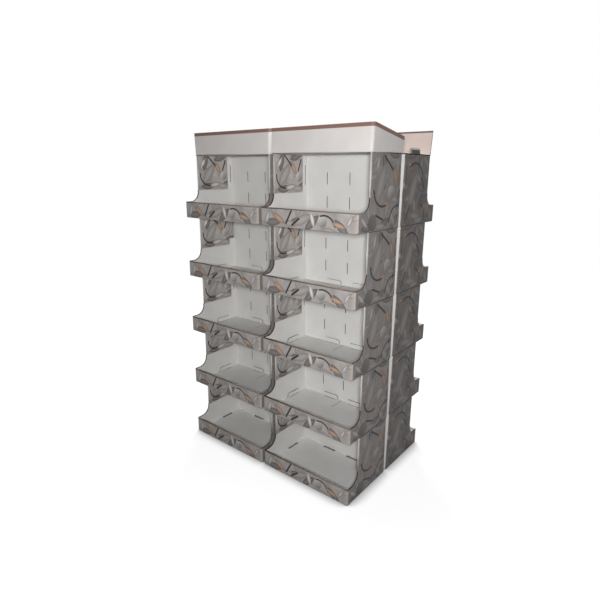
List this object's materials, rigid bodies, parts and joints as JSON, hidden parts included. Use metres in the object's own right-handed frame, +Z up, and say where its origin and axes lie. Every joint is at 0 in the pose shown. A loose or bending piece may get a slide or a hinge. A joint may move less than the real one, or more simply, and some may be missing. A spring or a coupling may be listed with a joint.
{
  "type": "cardboard display stand",
  "caption": "Free-standing corrugated display of back-to-back columns of stacked open-fronted trays with curved mouths and lips, topped by low headers.",
  "frame": {"origin": "on the floor below the middle of the stand", "axes": "+Z up, -Y towards the front columns' open side, +X to the right seen from the front"},
  "size_m": [1.194, 0.785, 1.875],
  "materials": {
    "tray_board": "printed grey outside, white inside",
    "header_board": "white with brown edges"
  },
  "bodies": {
    "root": {"front_left_tray_1": "tray_board", "front_left_tray_2": "tray_board", "front_left_tray_3": "tray_board", "front_left_tray_4": "tray_board", "front_left_tray_5": "tray_board", "front_left_header": "header_board", "front_right_tray_1": "tray_board", "front_right_tray_2": "tray_board", "front_right_tray_3": "tray_board", "front_right_tray_4": "tray_board", "front_right_tray_5": "tray_board", "front_right_header": "header_board", "rear_left_tray_1": "tray_board", "rear_left_tray_2": "tray_board", "rear_left_tray_3": "tray_board", "rear_left_tray_4": "tray_board", "rear_left_tray_5": "tray_board", "rear_left_header": "header_board", "rear_right_tray_1": "tray_board", "rear_right_tray_2": "tray_board", "rear_right_tray_3": "tray_board", "rear_right_tray_4": "tray_board", "rear_right_tray_5": "tray_board", "rear_right_header": "header_board"}
  },
  "joints": []
}
